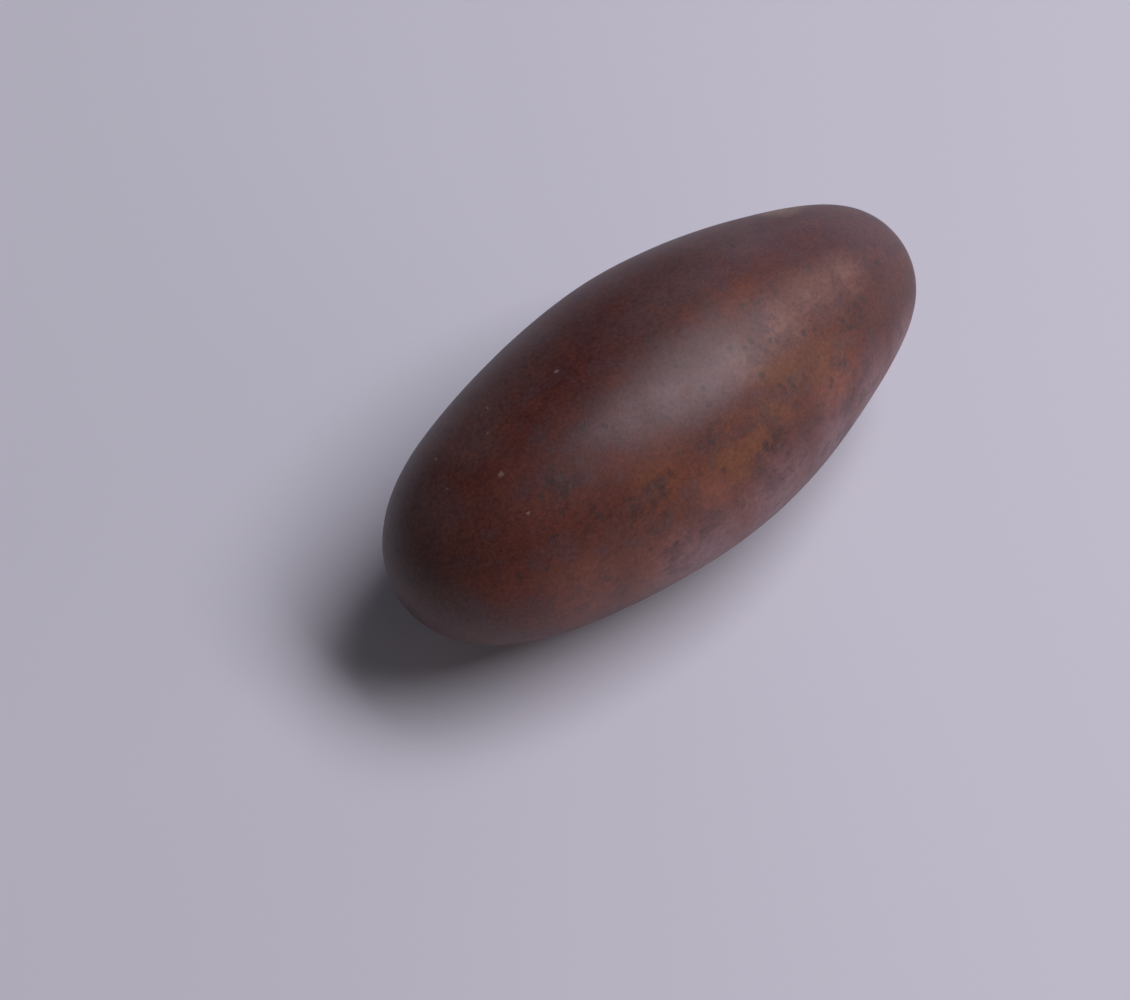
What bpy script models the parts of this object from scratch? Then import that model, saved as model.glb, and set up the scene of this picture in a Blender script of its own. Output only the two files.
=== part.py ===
"""A shiva lingam: a river stone ground by hand to a long egg shape and polished.

The stone lies on its side, along +X, with its fuller end at -X. It rests on a small
flat spot, which keeps it from rolling. The origin is on the floor under its middle.
Lengths are in metres.
"""
import math

import bmesh
import bpy

# The stone's own sizes
LENGTH = 0.125
WIDTH = 0.058
HEIGHT = 0.056
REST_SPOT_DEPTH = 0.0004

# The free form of the stone, as shares of its own half width
FLANK_LEAN = 0.16
END_FULLNESS = 0.31
EGG_TAPER = 0.26

# How finely the surface is divided
STEPS_ALONG = 44
STEPS_ROUND = 72

# The half height counts down to the lowest point before the flat spot was ground
HALF_HEIGHT = (HEIGHT + REST_SPOT_DEPTH) / 2
AXIS_HEIGHT = HEIGHT - HALF_HEIGHT

STONE_COLOUR = (0.085, 0.030, 0.024, 1.0)
STONE_ROUGHNESS = 0.48


def clear_scene():
    """Removes whatever the opened file holds."""
    for item in list(bpy.data.objects):
        bpy.data.objects.remove(item, do_unlink=True)


def fullness(place):
    """Reach of the stone against a plain ellipsoid's, from -1, near tip, to 1, far tip.

    The flanks are leaner than an ellipsoid and both ends blunter. The taper takes
    from the far half and gives to the near half, which makes the egg.
    """
    lean = FLANK_LEAN * place**2
    ends = END_FULLNESS * place**4
    taper = EGG_TAPER * (place**3 - place**5)
    return 1 - lean + ends - taper


def add_ring(mesh, angle):
    """Adds one ring of points round the stone, at an angle measured from the far tip."""
    place = math.cos(angle)
    reach = math.sin(angle) * fullness(place)
    ring = []
    for step in range(STEPS_ROUND):
        turn = 2 * math.pi * step / STEPS_ROUND
        across = WIDTH / 2 * reach * math.cos(turn)
        upwards = HALF_HEIGHT * reach * math.sin(turn)
        ring.append(mesh.verts.new((LENGTH / 2 * place, across, AXIS_HEIGHT + upwards)))
    return ring


def join_rings(mesh, first, second):
    """Joins two neighbouring rings with a band of four-sided faces."""
    for step in range(STEPS_ROUND):
        after = (step + 1) % STEPS_ROUND
        mesh.faces.new((first[step], first[after], second[after], second[step]))


def close_tip(mesh, ring, tip_x):
    """Closes the last ring with a fan of triangles to a tip on the stone's axis."""
    tip = mesh.verts.new((tip_x, 0, AXIS_HEIGHT))
    for step in range(STEPS_ROUND):
        after = (step + 1) % STEPS_ROUND
        mesh.faces.new((ring[step], ring[after], tip))


def grind_rest_spot(mesh):
    """Cuts the stone flat at floor level and closes the cut with one face."""
    everything = mesh.verts[:] + mesh.edges[:] + mesh.faces[:]
    cut = bmesh.ops.bisect_plane(
        mesh, geom=everything, plane_co=(0, 0, 0), plane_no=(0, 0, 1), clear_inner=True
    )
    rim = [item for item in cut["geom_cut"] if isinstance(item, bmesh.types.BMEdge)]
    bmesh.ops.contextual_create(mesh, geom=rim)
    for edge in rim:
        edge.smooth = False


def stone_material():
    """Dark maroon-brown stone with a honed, satin surface."""
    material = bpy.data.materials.new("stone")
    material.use_nodes = True
    shader = material.node_tree.nodes["Principled BSDF"]
    shader.inputs["Base Color"].default_value = STONE_COLOUR
    shader.inputs["Roughness"].default_value = STONE_ROUGHNESS
    shader.inputs["Metallic"].default_value = 0.0
    return material


def build_stone():
    """Builds the whole stone as one closed solid."""
    mesh = bmesh.new()
    angles = [math.pi * step / STEPS_ALONG for step in range(1, STEPS_ALONG)]
    rings = [add_ring(mesh, angle) for angle in angles]
    for first, second in zip(rings, rings[1:]):
        join_rings(mesh, first, second)
    close_tip(mesh, rings[0], LENGTH / 2)
    close_tip(mesh, rings[-1], -LENGTH / 2)
    grind_rest_spot(mesh)
    bmesh.ops.recalc_face_normals(mesh, faces=mesh.faces[:])
    for face in mesh.faces:
        face.smooth = True

    data = bpy.data.meshes.new("shiva_lingam")
    mesh.to_mesh(data)
    mesh.free()
    data.materials.append(stone_material())
    stone = bpy.data.objects.new("shiva_lingam", data)
    bpy.context.scene.collection.objects.link(stone)
    return stone


clear_scene()
build_stone()
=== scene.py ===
"""The looks of a shiva lingam: a hand-ground river stone, honed to a satin.

The stone lies along +X with its fuller, darker end at -X. The camera looks down on it
from that end's side. Lengths are in metres.
"""
import math
import random

import bmesh
import bpy
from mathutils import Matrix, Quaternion, Vector, noise


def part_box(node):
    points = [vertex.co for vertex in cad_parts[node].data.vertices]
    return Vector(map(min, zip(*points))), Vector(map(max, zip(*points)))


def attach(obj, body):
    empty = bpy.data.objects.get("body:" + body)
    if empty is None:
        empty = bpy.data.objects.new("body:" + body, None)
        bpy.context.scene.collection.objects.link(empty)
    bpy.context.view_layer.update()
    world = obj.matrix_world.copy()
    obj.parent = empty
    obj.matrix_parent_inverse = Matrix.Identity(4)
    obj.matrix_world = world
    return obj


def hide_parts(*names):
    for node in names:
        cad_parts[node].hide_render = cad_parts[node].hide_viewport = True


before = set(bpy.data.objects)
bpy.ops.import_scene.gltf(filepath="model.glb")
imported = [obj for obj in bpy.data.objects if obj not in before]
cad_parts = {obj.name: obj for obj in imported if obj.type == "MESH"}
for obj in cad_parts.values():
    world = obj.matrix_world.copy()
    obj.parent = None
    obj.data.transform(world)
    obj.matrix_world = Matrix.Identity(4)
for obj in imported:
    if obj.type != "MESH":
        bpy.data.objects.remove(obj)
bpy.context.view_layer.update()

MM = 0.001
NODE = "shiva_lingam"

# The stone's free form, as shares of its own half width
FLANK_LEAN = 0.16
END_FULLNESS = 0.31
EGG_TAPER = 0.26
REST_SPOT_DEPTH = 0.4 * MM

# The fine surface: how it is divided, and what hand grinding left of waviness
STEPS_ALONG = 300
STEPS_ROUND = 280
LONG_WAVE = 17 * MM
LONG_WAVE_DEPTH = 0.10 * MM
SHORT_WAVE = 6 * MM
SHORT_WAVE_DEPTH = 0.018 * MM

# The satin hone, and the faint relief of its grain
HONE_ROUGHNESS = 0.45
HONE_VARIATION = 0.07
STONE_IOR = 1.54
RELIEF_STRENGTH = 0.25
RELIEF_DEPTH = 0.05 * MM
SPECK_RELIEF = 0.6

# The camera
CAMERA_AIM = Vector((-25.9 * MM, -2.9 * MM, 28 * MM))
CAMERA_AZIMUTH = -40.84
CAMERA_ELEVATION = 58.0
CAMERA_DISTANCE = 0.55
CAMERA_LENS = 93.1
CAMERA_NEAR_LIMIT = 10 * MM

# The floor and the dim room
FLOOR_COLOUR = (0.70, 0.74, 0.82)
FLOOR_ROUGHNESS = 0.7
FLOOR_REACH = 12.0
ROOM_COLOUR = (0.86, 0.86, 1.0)
ROOM_GLOW = 0.035

# Soft lights: name, azimuth and elevation in degrees, distance, width and height in metres,
# roll in degrees, and radiance in red, green and blue
PANELS = (
    ("window", (62, 60), 1.6, (1.31, 0.67), 25, (7.2, 6.5, 7.0)),
    ("front", (0, 10), 2.8, (2.0, 1.2), 0, (1.00, 0.70, 0.60)),
    ("side", (45, 10), 2.8, (2.0, 1.2), 0, (1.60, 1.35, 1.30)),
    ("wall", (105, 10), 2.8, (3.2, 1.2), 0, (1.10, 1.05, 1.35)),
)

# Colours of the stone, some of them partly painted highlight, sheen and shade
MAROON = (0.084, 0.0170, 0.0100)
WINE = (0.066, 0.0115, 0.0080)
UMBER = (0.080, 0.0285, 0.0200)
# Bloom is partly a greyer tone of the stone and partly painted sheen on the +Y side and painted
# light at the far tip
GREY_AND_SHEEN = (0.100, 0.0500, 0.0460)
GARNET = (0.102, 0.0160, 0.0050)
RUST = (0.132, 0.0300, 0.0095)
OCHRE = (0.176, 0.0600, 0.0140)
# Haze is partly a blue-grey tone of the stone and partly a painted highlight over the top of the
# near half
PALE_GREY_AND_HIGHLIGHT = (0.136, 0.0760, 0.0820)
# Dun is partly a paler tone of the stone and partly a painted highlight along the top of the far
# half
FAWN_AND_HIGHLIGHT = (0.200, 0.0960, 0.0720)
BRICK = (0.190, 0.0600, 0.0340)
# Mauve is a painted sheen: the lavender reflection that lies along the lower edge on the -Y side
PAINTED_SHEEN = (0.228, 0.1280, 0.1360)
TAN = (0.270, 0.1800, 0.1150)
SMOKE = (0.066, 0.0300, 0.0340)
PLUM = (0.038, 0.0075, 0.0055)
SLATE = (0.027, 0.0150, 0.0160)
CREAM = (0.310, 0.2700, 0.2100)
GRAIN = (0.070, 0.0360, 0.0300)

# In the layers below, a rise holds the values at which a mask is 0 and 1, and a share with two
# values goes from the first to the second. An edge is the size of the waves that move a
# place about, and how far they move it. A squeeze shortens places across and upwards, which
# draws a pattern out round the stone.
NOISE_MIDDLE = (0.5, 0.5, 0.5)
SOFT_EDGE = (9 * MM, 6 * MM)
RAGGED_EDGE = (2.5 * MM, 3 * MM)
SPECK_EDGE = (0.8 * MM, 1.1 * MM)

# Ground: wine patches, partly painted shade in the wine clouds; bloom on the +Y side and at the
# far tip, partly painted sheen; umber at the near tip
GROUND_PATCH = 16 * MM
GROUND_RISE = (0.36, 0.62)
WINE_SHARE = 0.8
GREY_AND_SHEEN_RISE = (1 * MM, 16 * MM)
GREY_AND_SHEEN_SHARE = (1.0, 0.55)
FAR_TIP_RISE = (36 * MM, 56 * MM)
FAR_TIP_SHARE = 0.7
NEAR_TIP_RISE = (-40 * MM, -58 * MM)

# Garnet, rust and ochre: patches and streaks
GARNET_SHARE = 0.8
RUST_PATCH = 5 * MM
RUST_RISE = (0.28, 0.55)
RUST_SHARE = (0.55, 1.0)
OCHRE_RISE = (0.32, 0.58)
STREAK_WIDTH = 1.1 * MM
STREAK_SQUEEZE = (1.0, 0.25, 0.25)
STREAK_SHARE = (0.6, 1.4)

# Smoky and rusty patches all round the stone
DRIFT_PATCH = 4.5 * MM
SMOKY_RISE = (0.50, 0.36)
SMOKY_SHARE = 0.50
RUSTY_RISE = (0.52, 0.68)
RUSTY_SHARE = 0.30

# Plum blotches, a little larger and much stronger in their clusters
PLUM_BLOTCH = 2.2 * MM
PLUM_GROWTH = 0.06
PLUM_RISE = (0.44, 0.66)
PLUM_SHARE = (0.18, 0.85)

# Dark dots: spacing, rise with the distance from a dot's middle, rise with its own chance, share
COARSE_DOTS = (2.0 * MM, (0.38, 0.08), (0.30, 0.85), 0.85)
FINE_DOTS = (0.9 * MM, (0.45, 0.12), (0.35, 0.90), 0.50)
COARSE_DOT_SQUEEZE = (1.0, 0.7, 0.7)
FAR_DOTS_RISE = (-35 * MM, 20 * MM)
DOTS_SHARE = (0.15, 0.35)

# Grain and mottle all over the stone
GRAIN_SIZE = 0.8 * MM
GRAIN_CONTRAST = (0.60, 1.40)
GRAIN_SHARE = (-0.5, 0.5)
MOTTLE_SIZE = 6 * MM
MOTTLE_CONTRAST = (0.80, 1.20)

# Where the clouds lie: place along the stone, turn round it, reach along and reach across in mm
RUST_CLOUDS = (
    (-0.26, 137, 14.0, 12.0),
    (-0.04, 142, 16.0, 14.0),
    (0.20, 138, 17.0, 15.0),
    (0.44, 138, 14.0, 12.0),
    (0.26, 94, 16.0, 6.5),
)
GARNET_CLOUDS = (
    (-0.52, 128, 19.0, 16.0),
    (-0.34, 124, 14.0, 10.0),
    # This last cloud, low on the -Y side at the near tip, is painted warm bounce light
    (-0.80, 152, 13.0, 10.0),
)
OCHRE_CLOUDS = (
    (0.20, 125, 8.0, 5.0),
    (0.31, 131, 10.0, 7.0),
    (0.39, 139, 8.0, 6.0),
    (0.07, 143, 9.0, 8.0),
    (-0.06, 149, 9.0, 7.0),
    (-0.28, 132, 7.0, 5.0),
)
PLUM_CLOUDS = (
    (0.21, 139, 8.0, 5.5),
    (-0.10, 131, 7.0, 4.0),
    (0.08, 150, 8.0, 4.5),
    (0.57, 133, 8.0, 6.0),
    (-0.29, 138, 6.0, 4.5),
    (-0.37, 144, 9.0, 6.5),
    (-0.54, 115, 8.0, 6.0),
    (-0.50, 134, 9.0, 6.0),
)
# Haze: partly painted highlight, over the top of the near half
PALE_GREY_AND_HIGHLIGHT_CLOUDS = (
    (-0.33, 106, 8.0, 5.0),
    (-0.26, 108, 10.0, 7.0),
    (-0.12, 113, 12.0, 8.0),
    (0.01, 117, 12.0, 8.0),
)
# Dun: partly painted highlight, along the top of the far half
FAWN_AND_HIGHLIGHT_CLOUDS = (
    (0.14, 117, 10.0, 6.5),
    (0.32, 114, 13.0, 8.0),
    (0.50, 112, 15.0, 8.5),
    (0.64, 112, 10.0, 6.5),
)
# Bloom: partly painted sheen along the +Y side and at the far tip
GREY_AND_SHEEN_CLOUDS = (
    (-0.84, 78, 12.0, 10.0),
    (-0.62, 74, 13.0, 8.0),
    (0.12, 78, 26.0, 9.0),
    (0.42, 68, 18.0, 11.0),
)
BRICK_CLOUDS = (
    (-0.58, 172, 17.0, 14.0),
    (-0.36, 175, 22.0, 18.0),
    (-0.08, 178, 20.0, 17.0),
    (-0.15, 154, 10.0, 7.0),
    (0.40, 153, 11.0, 7.0),
)
# Painted sheen: mauve along the lower edge on the -Y side, where the satin reflects pale
# surroundings
PAINTED_SHEEN_CLOUDS = (
    (-0.20, 184, 18.0, 16.0),
    (0.10, 180, 20.0, 17.0),
    (0.33, 176, 16.0, 13.5),
    (0.55, 180, 18.0, 14.5),
    (0.76, 178, 13.0, 10.0),
)
# Wine clouds on the top: partly the stone's darker band and partly painted shade that holds back
# the window's highlight there
WINE_AND_SHADE_CLOUDS = (
    (-0.04, 95, 9.0, 5.0),
    (0.12, 102, 6.0, 3.5),
    (-0.30, 84, 18.0, 8.0),
)
TAN_CLOUDS = ((0.70, 46, 9.0, 6.5), (0.58, 36, 8.0, 4.0))

# Streams of dark specks: from one place and turn to another, how many, and spread in mm
DARK_STREAMS = (
    ((0.10, 109), (0.46, 129), 9, 0.8),
    ((0.15, 95), (0.33, 101), 3, 1.0),
    ((0.12, 126), (0.30, 141), 5, 1.5),
    ((0.34, 151), (0.48, 143), 5, 1.5),
    ((0.52, 124), (0.67, 135), 7, 2.6),
    ((0.76, 120), (0.84, 105), 2, 1.5),
    ((-0.02, 101), (-0.10, 150), 5, 1.5),
    ((-0.20, 134), (-0.44, 138), 5, 2.0),
    ((-0.44, 100), (-0.29, 104), 2, 1.5),
    ((-0.54, 105), (-0.66, 136), 5, 1.8),
    ((-0.66, 146), (-0.80, 138), 2, 1.0),
    ((-0.44, 160), (-0.20, 170), 3, 1.5),
    ((-0.40, 20), (0.30, 8), 5, 5.0),
    ((-0.20, 215), (0.50, 205), 5, 4.0),
)
DARK_SPECK_SEED = 5
DARK_SPECK_REACH = (0.8, 1.3)
DARK_SPECK_CORE = 0.1
DARK_SPECK_SHARE = 0.65

# Pale specks: place along the stone, turn round it and reach in mm
PALE_SPECKS = (
    (-0.64, 94, 0.8),
    (-0.65, 116, 0.5),
    (-0.31, 75, 0.6),
    (-0.52, 63, 0.4),
    (-0.58, 74, 0.4),
    (-0.51, 49, 0.4),
    (-0.72, 58, 0.4),
    (-0.77, 78, 0.4),
)
PALE_SPECK_SHARE = 0.55


def reach_at(place):
    """Share of the half width that the stone reaches, from -1, near tip, to 1, far tip."""
    lean = FLANK_LEAN * place**2
    ends = END_FULLNESS * place**4
    taper = EGG_TAPER * (place**3 - place**5)
    return math.sqrt(max(0.0, 1 - place**2)) * (1 - lean + ends - taper)


class Form:
    """The stone's sizes, read from the solid that it replaces."""

    def __init__(self, low, high):
        self.half_length = (high.x - low.x) / 2
        self.half_width = (high.y - low.y) / 2
        self.half_height = (high.z - low.z + REST_SPOT_DEPTH) / 2
        self.axis_height = high.z - self.half_height

    def point(self, place, turn):
        """Point of the surface at a share of the half length and a turn in degrees.

        Turn 90 is the top and turn 180 is the side that faces -Y.
        """
        reach = reach_at(place)
        across = self.half_width * reach * math.cos(math.radians(turn))
        upwards = self.half_height * reach * math.sin(math.radians(turn))
        return Vector((self.half_length * place, across, self.axis_height + upwards))


FORM = Form(*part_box(NODE))


class Graph:
    """Adds nodes to one material and joins them by their sockets."""

    def __init__(self, name):
        self.material = bpy.data.materials.new(name)
        self.material.use_nodes = True
        self.tree = self.material.node_tree
        self.shader = self.tree.nodes["Principled BSDF"]

    def feed(self, socket, value):
        """Joins an output to a socket, or sets the socket's own value."""
        if isinstance(value, bpy.types.NodeSocket):
            self.tree.links.new(value, socket)
        elif socket.type == "RGBA":
            socket.default_value = (*value, 1.0)
        else:
            socket.default_value = value

    def place(self):
        """Position in the object's own space."""
        return self.tree.nodes.new("ShaderNodeTexCoord").outputs["Object"]

    def part(self, place, axis):
        """One coordinate of a position. X runs towards the far tip, and Z upwards."""
        split = self.tree.nodes.new("ShaderNodeSeparateXYZ")
        self.feed(split.inputs[0], place)
        return split.outputs[axis]

    def math(self, operation, first, second):
        """One sum, product or comparison of two values."""
        node = self.tree.nodes.new("ShaderNodeMath")
        node.operation = operation
        self.feed(node.inputs[0], first)
        self.feed(node.inputs[1], second)
        return node.outputs[0]

    def times(self, first, second):
        """One value times another."""
        return self.math("MULTIPLY", first, second)

    def ramp(self, value, low, high):
        """Turns a share from 0 to 1 into a value from low to high."""
        return self.math("ADD", self.times(value, high - low), low)

    def vector(self, operation, first, second=(0.0, 0.0, 0.0)):
        """One operation on vectors or colours. The length of a vector is a value."""
        node = self.tree.nodes.new("ShaderNodeVectorMath")
        node.operation = operation
        self.feed(node.inputs[0], first)
        self.feed(node.inputs[1], second)
        return node.outputs["Value" if operation == "LENGTH" else "Vector"]

    def scale(self, vector, factor):
        """A vector or colour times a number."""
        node = self.tree.nodes.new("ShaderNodeVectorMath")
        node.operation = "SCALE"
        self.feed(node.inputs[0], vector)
        self.feed(node.inputs["Scale"], factor)
        return node.outputs["Vector"]

    def noise(self, place, size, detail=2.0, roughness=0.5, output="Fac"):
        """Cloudy noise whose features are about the given size."""
        node = self.tree.nodes.new("ShaderNodeTexNoise")
        self.feed(node.inputs["Vector"], place)
        node.inputs["Scale"].default_value = 1 / size
        node.inputs["Detail"].default_value = detail
        node.inputs["Roughness"].default_value = roughness
        return node.outputs[output]

    def cells(self, place, size):
        """Distance from the nearest of many scattered points, and a random value for each."""
        node = self.tree.nodes.new("ShaderNodeTexVoronoi")
        self.feed(node.inputs["Vector"], place)
        node.inputs["Scale"].default_value = 1 / size
        split = self.tree.nodes.new("ShaderNodeSeparateColor")
        self.tree.links.new(node.outputs["Color"], split.inputs[0])
        return node.outputs["Distance"], split.outputs[0]

    def rise(self, value, low, high):
        """Smooth step from 0 at low to 1 at high; low may be above high."""
        node = self.tree.nodes.new("ShaderNodeMapRange")
        node.interpolation_type = "SMOOTHSTEP"
        self.feed(node.inputs["Value"], value)
        backwards = low > high
        node.inputs["From Min"].default_value = min(low, high)
        node.inputs["From Max"].default_value = max(low, high)
        node.inputs["To Min"].default_value = 1.0 if backwards else 0.0
        node.inputs["To Max"].default_value = 0.0 if backwards else 1.0
        return node.outputs["Result"]

    def blend(self, share, first, second):
        """Colour that goes from the first to the second with share."""
        node = self.tree.nodes.new("ShaderNodeMix")
        node.data_type = "RGBA"
        self.feed(node.inputs["Factor"], share)
        colour_sockets = [socket for socket in node.inputs if socket.type == "RGBA"]
        self.feed(colour_sockets[0], first)
        self.feed(colour_sockets[1], second)
        return next(socket for socket in node.outputs if socket.type == "RGBA")

    def shift(self, place, size, amount):
        """Moves a position about by noise, so that what is drawn there gets uneven edges."""
        colour = self.noise(place, size, output="Color")
        centred = self.vector("SUBTRACT", colour, NOISE_MIDDLE)
        return self.vector("ADD", place, self.scale(centred, amount))

    def spot(self, place, centre, along, across, core):
        """Round mask about a centre: 1 inside its core, 0 from its reach on."""
        offset = self.vector("SUBTRACT", place, tuple(centre))
        scaled = self.vector("MULTIPLY", offset, (1 / along, 1 / across, 1 / across))
        return self.rise(self.vector("LENGTH", scaled), 1.0, core)

    def any_of(self, masks):
        """The largest of several masks."""
        whole = masks[0]
        for mask in masks[1:]:
            whole = self.math("MAXIMUM", whole, mask)
        return whole


def clouds(graph, place, entries, core=0.0):
    """One mask for several soft clouds."""
    masks = [
        graph.spot(place, FORM.point(along, turn), reach * MM, width * MM, core)
        for along, turn, reach, width in entries
    ]
    return graph.any_of(masks)


def specks(graph, place, entries, core=0.0):
    """One mask for several small round specks."""
    round_clouds = [(along, turn, reach, reach) for along, turn, reach in entries]
    return clouds(graph, place, round_clouds, core)


def stream_specks(streams):
    """Scatters specks along each stream, the same ones in every run."""
    draw = random.Random(DARK_SPECK_SEED)
    found = []
    for (along, turn), (last_along, last_turn), count, spread in streams:
        for number in range(count):
            share = (number + 0.5) / count
            aside = math.degrees(draw.uniform(-spread, spread) * MM / FORM.half_width)
            ahead = draw.uniform(-spread, spread) * MM / FORM.half_length
            found.append((
                along + (last_along - along) * share + ahead,
                turn + (last_turn - turn) * share + aside,
                draw.uniform(*DARK_SPECK_REACH),
            ))
    return found


def dots(graph, place, spacing, distance_rise, chance_rise, share):
    """Mask of small dots, scattered at about the given spacing, some darker than others."""
    distance, chance = graph.cells(place, spacing)
    mask = graph.times(graph.rise(distance, *distance_rise), graph.rise(chance, *chance_rise))
    return graph.times(mask, share)


def ground_colour(graph, place, ragged):
    """Maroon and wine, greyer on the +Y side and at the far tip, browner at the near tip. The wine
    clouds are partly painted shade and the greyer tone partly painted sheen.
    """
    patches = graph.rise(graph.noise(place, GROUND_PATCH, detail=3), *GROUND_RISE)
    colour = graph.blend(patches, MAROON, WINE)
    # The wine clouds are partly painted shade over the top
    wine = clouds(graph, ragged, WINE_AND_SHADE_CLOUDS)
    colour = graph.blend(graph.times(wine, WINE_SHARE), colour, WINE)
    # The greyer tone on the +Y side and at the far tip is partly painted sheen
    grey_and_sheen = graph.rise(graph.part(ragged, "Y"), *GREY_AND_SHEEN_RISE)
    colour = graph.blend(graph.times(grey_and_sheen, graph.ramp(patches, *GREY_AND_SHEEN_SHARE)), colour, GREY_AND_SHEEN)
    length = graph.part(ragged, "X")
    far_tip = graph.rise(length, *FAR_TIP_RISE)
    colour = graph.blend(graph.times(far_tip, FAR_TIP_SHARE), colour, GREY_AND_SHEEN)
    return graph.blend(graph.rise(length, *NEAR_TIP_RISE), colour, UMBER)


def rust_layer(graph, place, ragged, colour):
    """Rust with ochre cores along the side that faces -Y, streaked round the stone."""
    squeezed = graph.vector("MULTIPLY", place, STREAK_SQUEEZE)
    streaks = graph.noise(squeezed, STREAK_WIDTH, detail=3, roughness=0.6)
    patches = graph.noise(place, RUST_PATCH, detail=3, roughness=0.6)
    garnet = clouds(graph, ragged, GARNET_CLOUDS)
    colour = graph.blend(graph.times(garnet, GARNET_SHARE), colour, GARNET)
    rust = clouds(graph, ragged, RUST_CLOUDS)
    ochre = clouds(graph, ragged, OCHRE_CLOUDS)
    cores = graph.times(graph.ramp(streaks, *STREAK_SHARE), graph.rise(patches, *OCHRE_RISE))
    tone = graph.blend(graph.times(ochre, cores), RUST, OCHRE)
    share = graph.ramp(graph.rise(patches, *RUST_RISE), *RUST_SHARE)
    return graph.blend(graph.times(rust, share), colour, tone)


def pale_layer(graph, smooth, ragged, colour):
    """Brick and mauve low on the side that faces -Y, the mauve a painted sheen; greyer and paler
    tones along the top, partly the stone's own and partly painted highlight and sheen.
    """
    for entries, place, share, tone in (
        (GREY_AND_SHEEN_CLOUDS, smooth, 0.80, GREY_AND_SHEEN),
        (BRICK_CLOUDS, ragged, 0.95, BRICK),
        (PAINTED_SHEEN_CLOUDS, smooth, 0.95, PAINTED_SHEEN),
        (FAWN_AND_HIGHLIGHT_CLOUDS, smooth, 0.85, FAWN_AND_HIGHLIGHT),
        (PALE_GREY_AND_HIGHLIGHT_CLOUDS, smooth, 0.80, PALE_GREY_AND_HIGHLIGHT),
        (TAN_CLOUDS, ragged, 0.80, TAN),
    ):
        colour = graph.blend(graph.times(clouds(graph, place, entries), share), colour, tone)
    return colour


def drift_layer(graph, place, colour):
    """Soft smoky patches and soft rusty ones, a few millimetres wide, all round the stone."""
    drift = graph.noise(place, DRIFT_PATCH, detail=3, roughness=0.6)
    smoky = graph.rise(drift, *SMOKY_RISE)
    colour = graph.blend(graph.times(smoky, SMOKY_SHARE), colour, SMOKE)
    rusty = graph.rise(drift, *RUSTY_RISE)
    return graph.blend(graph.times(rusty, RUSTY_SHARE), colour, RUST)


def plum_layer(graph, place, clusters, colour):
    """Dark plum blotches with soft edges, faint everywhere and strong in the clusters."""
    cloudy = graph.noise(place, PLUM_BLOTCH, detail=4, roughness=0.7)
    thick = graph.math("ADD", cloudy, graph.times(clusters, PLUM_GROWTH))
    share = graph.times(graph.rise(thick, *PLUM_RISE), graph.ramp(clusters, *PLUM_SHARE))
    return graph.blend(share, colour, PLUM)


def speck_layer(graph, place, clusters, colour):
    """Slate-dark dots and specks, denser towards the far tip, and a few pale specks.

    Gives the colour and the mask of what is dark.
    """
    wobbly = graph.shift(place, *SPECK_EDGE)
    squeezed = graph.vector("MULTIPLY", wobbly, COARSE_DOT_SQUEEZE)
    towards_far = graph.rise(graph.part(place, "X"), *FAR_DOTS_RISE)
    strength = graph.any_of([graph.ramp(towards_far, *DOTS_SHARE), clusters])
    scattered = graph.any_of([
        dots(graph, squeezed, *COARSE_DOTS),
        dots(graph, wobbly, *FINE_DOTS),
    ])
    single = specks(graph, wobbly, stream_specks(DARK_STREAMS), DARK_SPECK_CORE)
    dark = graph.any_of([
        graph.times(scattered, strength),
        graph.times(single, DARK_SPECK_SHARE),
    ])
    colour = graph.blend(dark, colour, SLATE)
    pale = specks(graph, wobbly, PALE_SPECKS)
    return graph.blend(graph.times(pale, PALE_SPECK_SHARE), colour, CREAM), dark


def stone_material():
    """Maroon stone with rusty clouds, dark blotches, fine specks and a satin hone, and some
    highlight, sheen and shade painted into its colour.
    """
    graph = Graph("stone")
    place = graph.place()
    smooth = graph.shift(place, *SOFT_EDGE)
    ragged = graph.shift(smooth, *RAGGED_EDGE)
    clusters = clouds(graph, ragged, PLUM_CLOUDS)

    colour = ground_colour(graph, place, ragged)
    colour = rust_layer(graph, place, ragged, colour)
    colour = pale_layer(graph, smooth, ragged, colour)
    colour = drift_layer(graph, place, colour)
    colour = plum_layer(graph, place, clusters, colour)
    colour, dark = speck_layer(graph, place, clusters, colour)

    grain = graph.noise(place, GRAIN_SIZE, detail=2, roughness=1.0)
    mottle = graph.noise(place, MOTTLE_SIZE, detail=3, roughness=0.7)
    colour = graph.scale(colour, graph.ramp(grain, *GRAIN_CONTRAST))
    colour = graph.vector("ADD", colour, graph.scale(GRAIN, graph.ramp(grain, *GRAIN_SHARE)))
    colour = graph.scale(graph.vector("MAXIMUM", colour), graph.ramp(mottle, *MOTTLE_CONTRAST))
    graph.feed(graph.shader.inputs["Base Color"], colour)

    rough = graph.ramp(mottle, HONE_ROUGHNESS, HONE_ROUGHNESS + HONE_VARIATION)
    graph.feed(graph.shader.inputs["Roughness"], rough)
    graph.shader.inputs["IOR"].default_value = STONE_IOR

    bump = graph.tree.nodes.new("ShaderNodeBump")
    bump.inputs["Strength"].default_value = RELIEF_STRENGTH
    bump.inputs["Distance"].default_value = RELIEF_DEPTH
    height = graph.math("SUBTRACT", grain, graph.times(dark, SPECK_RELIEF))
    graph.feed(bump.inputs["Height"], height)
    graph.feed(graph.shader.inputs["Normal"], bump.outputs["Normal"])
    return graph.material


def undulation(point):
    """How far hand grinding left the surface proud of, or short of, the even form."""
    long_wave = LONG_WAVE_DEPTH * noise.noise(point / LONG_WAVE)
    short_wave = SHORT_WAVE_DEPTH * noise.noise(point / SHORT_WAVE)
    return long_wave + short_wave


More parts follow.
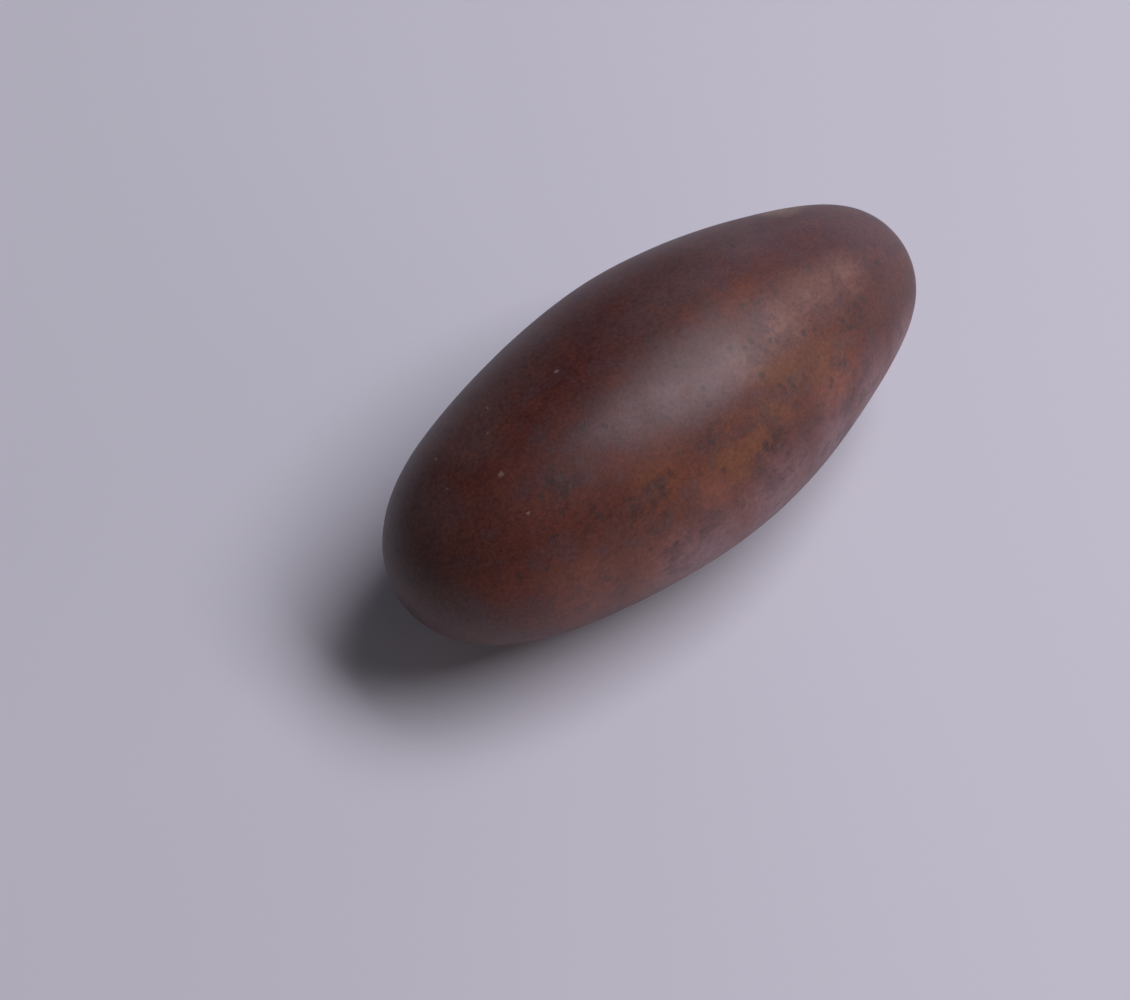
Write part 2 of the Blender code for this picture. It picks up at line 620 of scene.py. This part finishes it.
def add_even_form(mesh):
    """Adds the stone's form as rings of points, from the far tip to the near one."""
    turns = [360 * number / STEPS_ROUND for number in range(STEPS_ROUND)]
    places = [math.cos(math.pi * step / STEPS_ALONG) for step in range(1, STEPS_ALONG)]
    rings = [[mesh.verts.new(FORM.point(place, turn)) for turn in turns] for place in places]
    for first, second in zip(rings, rings[1:]):
        for number in range(STEPS_ROUND):
            after = (number + 1) % STEPS_ROUND
            mesh.faces.new((first[number], first[after], second[after], second[number]))
    for ring, place in ((rings[0], 1), (rings[-1], -1)):
        tip = mesh.verts.new(FORM.point(place, 0))
        for number in range(STEPS_ROUND):
            after = (number + 1) % STEPS_ROUND
            mesh.faces.new((ring[number], ring[after], tip))
    bmesh.ops.recalc_face_normals(mesh, faces=mesh.faces[:])
    mesh.normal_update()


def add_waviness(mesh):
    """Moves every point of the even form in or out by what hand grinding left."""
    moves = [vert.normal * undulation(vert.co) for vert in mesh.verts]
    for vert, move in zip(mesh.verts, moves):
        vert.co += move


def grind_rest_spot(mesh):
    """Cuts the stone flat at floor level and closes the cut with one face, sharp all round."""
    everything = mesh.verts[:] + mesh.edges[:] + mesh.faces[:]
    cut = bmesh.ops.bisect_plane(
        mesh, geom=everything, plane_co=(0, 0, 0), plane_no=(0, 0, 1), clear_inner=True
    )
    rim = [item for item in cut["geom_cut"] if isinstance(item, bmesh.types.BMEdge)]
    bmesh.ops.contextual_create(mesh, geom=rim)
    for face in mesh.faces:
        face.smooth = True
    for edge in rim:
        edge.smooth = False


def build_stone():
    """The whole stone as one fine mesh, with its flat spot on the floor."""
    mesh = bmesh.new()
    add_even_form(mesh)
    add_waviness(mesh)
    grind_rest_spot(mesh)

    data = bpy.data.meshes.new("polished_stone")
    mesh.to_mesh(data)
    mesh.free()
    data.materials.append(stone_material())
    stone = bpy.data.objects.new("polished_stone", data)
    bpy.context.scene.collection.objects.link(stone)
    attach(stone, "root")
    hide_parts(NODE)


def back_of(azimuth, elevation):
    """Direction from what is looked at to the eye. Azimuth 0 looks along +Y."""
    turn = math.radians(azimuth)
    lift = math.radians(elevation)
    level = math.cos(lift)
    return Vector((math.sin(turn) * level, -math.cos(turn) * level, math.sin(lift)))


def make_camera():
    """The photograph's view, from above the stone's near end."""
    data = bpy.data.cameras.new("camera")
    data.lens = CAMERA_LENS
    data.clip_start = CAMERA_NEAR_LIMIT
    camera = bpy.data.objects.new("camera", data)
    bpy.context.scene.collection.objects.link(camera)
    back = back_of(CAMERA_AZIMUTH, CAMERA_ELEVATION)
    camera.location = CAMERA_AIM + back * CAMERA_DISTANCE
    camera.rotation_euler = back.to_track_quat("Z", "Y").to_euler()
    bpy.context.scene.camera = camera


def make_floor():
    """A plain pale table top."""
    graph = Graph("floor")
    graph.feed(graph.shader.inputs["Base Color"], FLOOR_COLOUR)
    graph.feed(graph.shader.inputs["Roughness"], FLOOR_ROUGHNESS)
    data = bpy.data.meshes.new("floor")
    corners = [
        (-FLOOR_REACH, -FLOOR_REACH, 0),
        (FLOOR_REACH, -FLOOR_REACH, 0),
        (FLOOR_REACH, FLOOR_REACH, 0),
        (-FLOOR_REACH, FLOOR_REACH, 0),
    ]
    data.from_pydata(corners, [], [(0, 1, 2, 3)])
    data.materials.append(graph.material)
    floor = bpy.data.objects.new("floor", data)
    bpy.context.scene.collection.objects.link(floor)


def add_panel(name, direction, distance, size, roll, glow):
    """A soft light: a rectangle that faces the stone and glows evenly, as a window does."""
    data = bpy.data.lights.new(name, "AREA")
    data.shape = "RECTANGLE"
    data.size, data.size_y = size
    brightest = max(glow)
    data.energy = brightest * math.pi * data.size * data.size_y
    data.color = [part / brightest for part in glow]
    panel = bpy.data.objects.new(name, data)
    bpy.context.scene.collection.objects.link(panel)
    back = back_of(*direction)
    panel.location = Vector((0, 0, FORM.axis_height)) + back * distance
    panel.rotation_mode = "QUATERNION"
    panel.rotation_quaternion = Quaternion(back, math.radians(roll)) @ back.to_track_quat("Z", "Y")


def make_light():
    """A soft window from the upper right, dimmer panels low on that side and a dim room."""
    world = bpy.data.worlds.new("room")
    world.use_nodes = True
    background = world.node_tree.nodes["Background"]
    background.inputs["Color"].default_value = (*ROOM_COLOUR, 1.0)
    background.inputs["Strength"].default_value = ROOM_GLOW
    bpy.context.scene.world = world
    for panel in PANELS:
        add_panel(*panel)


make_camera()
make_floor()
make_light()
build_stone()
bpy.context.scene.view_settings.view_transform = "Standard"
